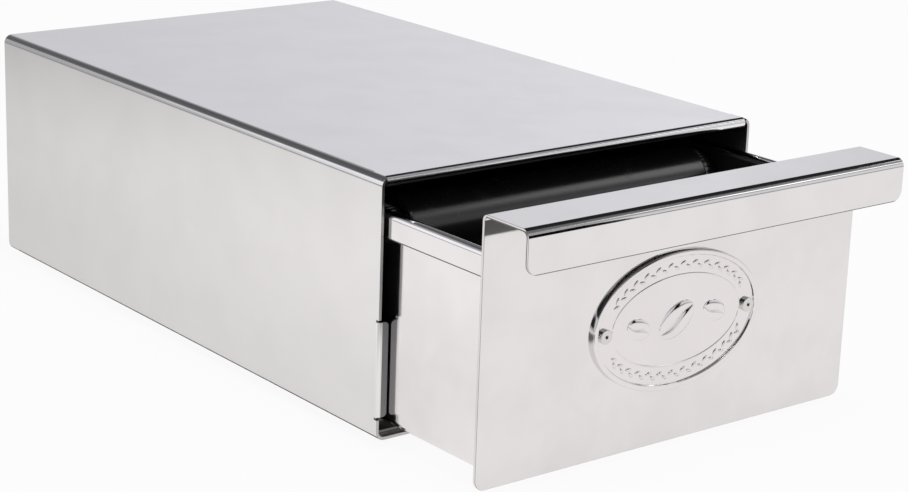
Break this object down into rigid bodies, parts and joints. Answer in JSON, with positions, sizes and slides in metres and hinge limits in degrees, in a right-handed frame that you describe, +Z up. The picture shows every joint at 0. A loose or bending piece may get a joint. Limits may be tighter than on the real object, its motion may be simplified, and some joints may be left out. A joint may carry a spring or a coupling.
{
  "type": "coffee knock drawer",
  "caption": "Folded steel casing with a sliding tray, a bent front panel with a handle lip and oval badge, and a rubber sleeved knock bar across a black lined tray.",
  "frame": {"origin": "on the counter plane, in the middle of the whole footprint with the drawer standing open as stored", "axes": "+Z up, -Y towards the user (the drawer opens that way), +X to the user's right"},
  "size_m": [0.19, 0.3824, 0.108],
  "materials": {
    "casing_steel": "polished stainless, soft satin on the top",
    "panel_steel": "mirror polished stainless",
    "tray_steel": "polished stainless",
    "badge_steel": "stamped and polished stainless",
    "collar_steel": "turned stainless",
    "fastener_steel": "plain stainless",
    "glide_plastic": "matt slippery plastic",
    "black_rubber": "matt black rubber"
  },
  "bodies": {
    "casing": {"casing_shell": "casing_steel", "base_plate": "casing_steel", "casing_back": "casing_steel", "glide_strip_left": "glide_plastic", "glide_strip_right": "glide_plastic", "rear_bumper_left": "black_rubber", "rear_bumper_right": "black_rubber", "foot_front_left": "black_rubber", "foot_front_right": "black_rubber", "foot_rear_left": "black_rubber", "foot_rear_right": "black_rubber"},
    "drawer": {"drawer_tray": "tray_steel", "drawer_front_wall": "tray_steel", "drawer_back_wall": "tray_steel", "tray_liner": "black_rubber", "front_panel": "panel_steel", "badge_plate": "badge_steel", "badge_rivets": "fastener_steel", "bar_rod": "fastener_steel", "bar_sleeve": "black_rubber", "bar_collar_left": "collar_steel", "bar_collar_right": "collar_steel", "bar_screws": "fastener_steel", "stop_studs": "fastener_steel"}
  },
  "joints": [
    {"name": "drawer_slide", "type": "slide", "parent": "casing", "child": "drawer", "axis": [0, -1, 0], "range_m": [-0.0587, 0.1313]}
  ]
}
